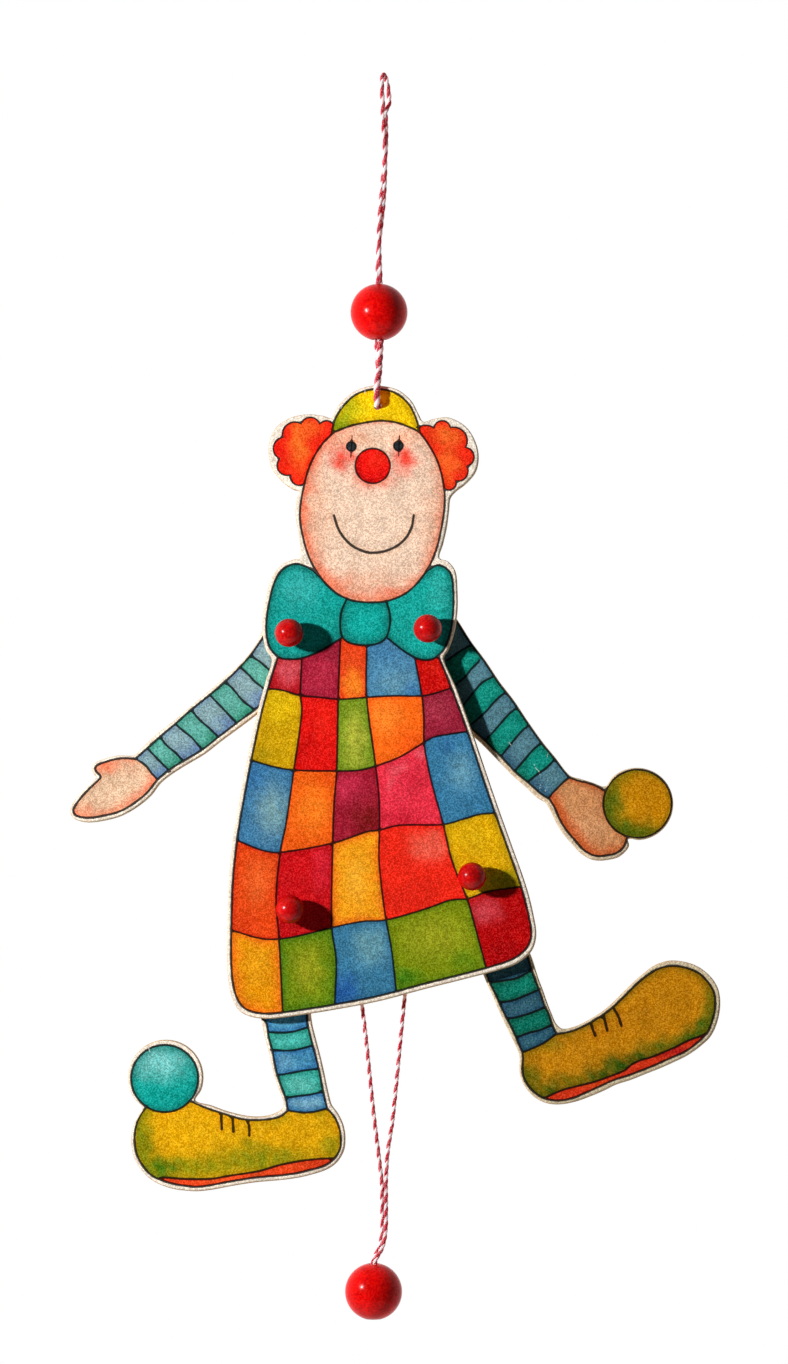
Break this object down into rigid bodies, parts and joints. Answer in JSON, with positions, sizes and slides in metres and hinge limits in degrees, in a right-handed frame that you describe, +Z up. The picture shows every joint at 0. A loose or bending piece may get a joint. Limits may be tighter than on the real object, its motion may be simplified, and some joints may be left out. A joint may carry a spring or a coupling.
{
  "type": "hanging jumping jack toy",
  "caption": "Flat plywood clown on a twine loop: pulling the bead below swings its arms and legs up together through levers hidden behind the body.",
  "frame": {"origin": "top of the hanging loop, where a nail or hook carries the toy", "axes": "+Z up along the hanging toy, +X to the right as seen from the front; the painted front faces -Y and the wall is towards +Y"},
  "size_m": [0.2282, 0.023, 0.4367],
  "materials": {
    "printed_body": "watercolour print on plywood with a cream margin, satin varnish",
    "printed_arms": "watercolour print on plywood with a cream margin, satin varnish",
    "printed_legs": "watercolour print on plywood with a cream margin, satin varnish",
    "red_lacquer": "glossy red lacquer on turned wood",
    "bare_wood": "bare turned beech, smooth",
    "twine": "red and white twisted cotton"
  },
  "bodies": {
    "figure": {"body_board": "printed_body", "left_shoulder_peg": "red_lacquer", "right_shoulder_peg": "red_lacquer", "left_hip_peg": "red_lacquer", "right_hip_peg": "red_lacquer", "left_shoulder_spacer": "bare_wood", "right_shoulder_spacer": "bare_wood", "left_hip_spacer": "bare_wood", "right_hip_spacer": "bare_wood", "left_shoulder_disc": "bare_wood", "right_shoulder_disc": "bare_wood", "left_hip_disc": "bare_wood", "right_hip_disc": "bare_wood", "hanging_cord": "twine", "hat_cord": "twine", "hanging_knot": "twine"},
    "left_arm": {"left_arm": "printed_arms"},
    "right_arm": {"right_arm": "printed_arms"},
    "left_leg": {"left_leg": "printed_legs"},
    "right_leg": {"right_leg": "printed_legs"},
    "left_link": {"left_link_cord": "twine", "left_arm_knot": "twine", "left_leg_knot": "twine"},
    "right_link": {"right_link_cord": "twine", "right_arm_knot": "twine", "right_leg_knot": "twine"},
    "hanging_bead": {"hanging_bead": "red_lacquer"},
    "pull": {"left_pull_cord": "twine", "right_pull_cord": "twine", "pull_knot": "twine", "pull_bead": "red_lacquer"}
  },
  "joints": [
    {"name": "left_leg_swing", "type": "hinge", "parent": "figure", "child": "left_leg", "pos_m": [-0.0324, 0.0053, -0.293], "axis": [0, 1, 0], "range_deg": [0, 55]},
    {"name": "right_leg_swing", "type": "hinge", "parent": "figure", "child": "right_leg", "pos_m": [0.0311, 0.0053, -0.2815], "axis": [0, -1, 0], "range_deg": [0, 55]},
    {"name": "left_arm_swing", "type": "hinge", "parent": "figure", "child": "left_arm", "pos_m": [-0.0328, 0.0053, -0.1965], "axis": [0, 1, 0], "range_deg": [0, 55]},
    {"name": "right_arm_swing", "type": "hinge", "parent": "figure", "child": "right_arm", "pos_m": [0.0156, 0.0053, -0.195], "axis": [0, -1, 0], "range_deg": [0, 55]},
    {"name": "left_link_turn", "type": "hinge", "parent": "left_arm", "child": "left_link", "pos_m": [-0.01595, 0.0088, -0.18773], "axis": [0, 1, 0], "range_deg": [-55, 0]},
    {"name": "right_link_turn", "type": "hinge", "parent": "right_arm", "child": "right_link", "pos_m": [-0.00125, 0.0088, -0.18623], "axis": [0, -1, 0], "range_deg": [-55, 0]},
    {"name": "pull_slide", "type": "slide", "parent": "figure", "child": "pull", "axis": [0, 0, -1], "range_m": [0, 0.0176]},
    {"name": "hanging_bead_slide", "type": "slide", "parent": "figure", "child": "hanging_bead", "axis": [0, 0, 1], "range_m": [0, 0.01]}
  ],
  "couplings": [
    {"joint": "right_leg_swing", "follows": "left_leg_swing", "ratio": 1},
    {"joint": "left_arm_swing", "follows": "left_leg_swing", "ratio": 1},
    {"joint": "right_arm_swing", "follows": "left_leg_swing", "ratio": 1},
    {"joint": "left_link_turn", "follows": "left_leg_swing", "ratio": -1},
    {"joint": "right_link_turn", "follows": "left_leg_swing", "ratio": -1},
    {"joint": "pull_slide", "follows": "left_leg_swing", "m_per_rad": 0.018279}
  ]
}
